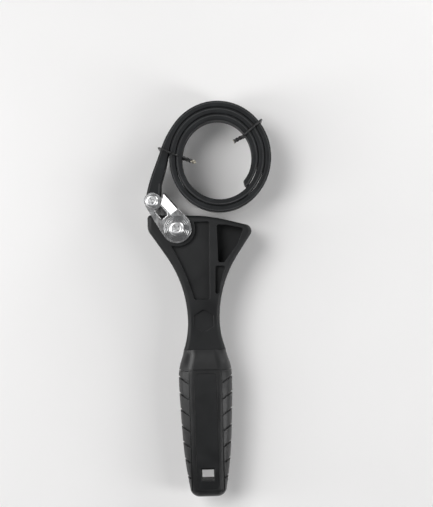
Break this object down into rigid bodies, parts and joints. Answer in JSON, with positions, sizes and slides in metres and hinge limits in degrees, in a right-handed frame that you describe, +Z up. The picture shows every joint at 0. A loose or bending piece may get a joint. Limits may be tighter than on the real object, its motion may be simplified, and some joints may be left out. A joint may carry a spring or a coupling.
{
  "type": "strap wrench",
  "caption": "Strap wrench for large pipe: nylon handle with soft grip, pivoting steel shackle and a coiled reinforced rubber strap.",
  "frame": {"origin": "on the surface that the wrench lies on, under the middle of its overall box", "axes": "+Y from the grip towards the strap coil, +X to the right seen from the front, +Z up off the front face"},
  "size_m": [0.0966, 0.2986, 0.0444],
  "materials": {
    "nylon": "fine moulded texture",
    "grip_rubber": "satin soft-touch",
    "washer_plastic": "smooth",
    "bright_steel": "bright plated stamping",
    "chrome_steel": "bright nickel plate",
    "zinc_steel": "zinc plated",
    "insert_plastic": "nylon ring",
    "strap_rubber": "moulded rubber",
    "strap_ply": "rubberised woven ply",
    "tie_plastic": "plastic coated wire"
  },
  "bodies": {
    "handle": {"handle_core": "nylon", "grip_sleeve": "grip_rubber", "thrust_washer_front": "washer_plastic", "thrust_washer_rear": "washer_plastic"},
    "link": {"shackle": "bright_steel", "pivot_sleeve": "zinc_steel", "pivot_screw": "chrome_steel", "pivot_cup_washer": "chrome_steel", "pivot_rear_washer": "zinc_steel", "pivot_lock_nut": "zinc_steel", "pivot_nut_insert": "insert_plastic", "pin_sleeve": "zinc_steel", "pin_screw": "chrome_steel", "pin_front_washer": "chrome_steel", "pin_rear_washer": "zinc_steel", "pin_lock_nut": "zinc_steel", "pin_nut_insert": "insert_plastic"},
    "strap": {"strap_tread": "strap_rubber", "strap_ply": "strap_ply", "strap_cover": "strap_rubber", "tie_left": "tie_plastic", "tie_right": "tie_plastic"}
  },
  "joints": [
    {"name": "shackle_swing", "type": "hinge", "parent": "handle", "child": "link", "pos_m": [-0.02422, 0.05407, 0.0225], "axis": [0, 0, 1], "range_deg": [-3, 12]},
    {"name": "strap_swing", "type": "hinge", "parent": "link", "child": "strap", "pos_m": [-0.04201, 0.07504, 0.0225], "axis": [0, 0, 1], "range_deg": [-2, 70]}
  ]
}
